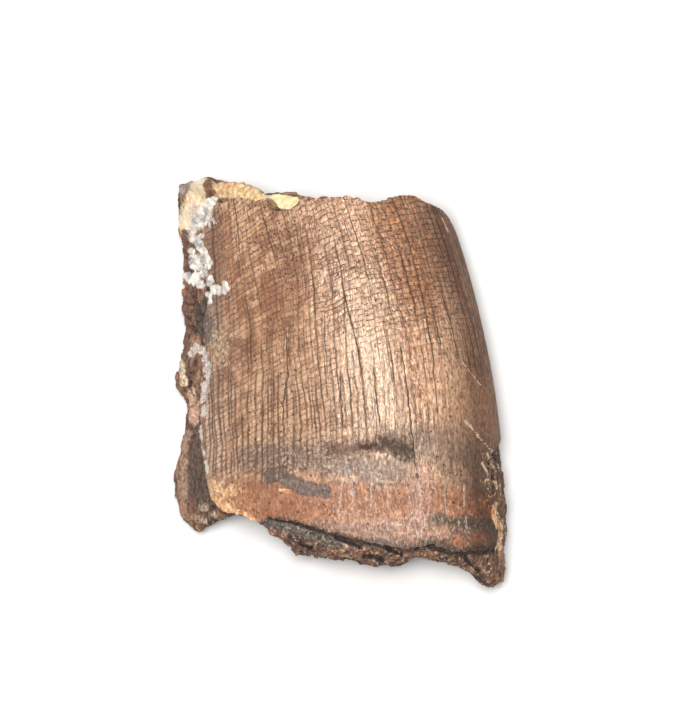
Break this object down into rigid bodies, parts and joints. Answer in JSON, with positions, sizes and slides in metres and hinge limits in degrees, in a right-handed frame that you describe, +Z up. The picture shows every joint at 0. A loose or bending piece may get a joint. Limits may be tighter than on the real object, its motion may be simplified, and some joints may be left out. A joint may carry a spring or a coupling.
{
  "type": "fossil tyrannosaur tooth",
  "caption": "Broken section of a fossil tyrannosaur tooth crown, with crazed brown enamel on its rounded face and rough fractured dentine on its back, ends and one side.",
  "frame": {"origin": "bottom centre of the box of the fossil as it lies on its broken back, in the plane that it rests on", "axes": "+Z up, out of the enamel face; +Y along the tooth, from the broken base towards the missing tip; +X towards the rounded front edge of the tooth"},
  "size_m": [0.0284, 0.035, 0.0125],
  "materials": {
    "fossil_tooth": "brown mineral-stained enamel with a dull polish, split by a dark net of fine cracks; matt brown and cream dentine where it is broken"
  },
  "bodies": {
    "root": {"tooth_section": "fossil_tooth"}
  },
  "joints": []
}
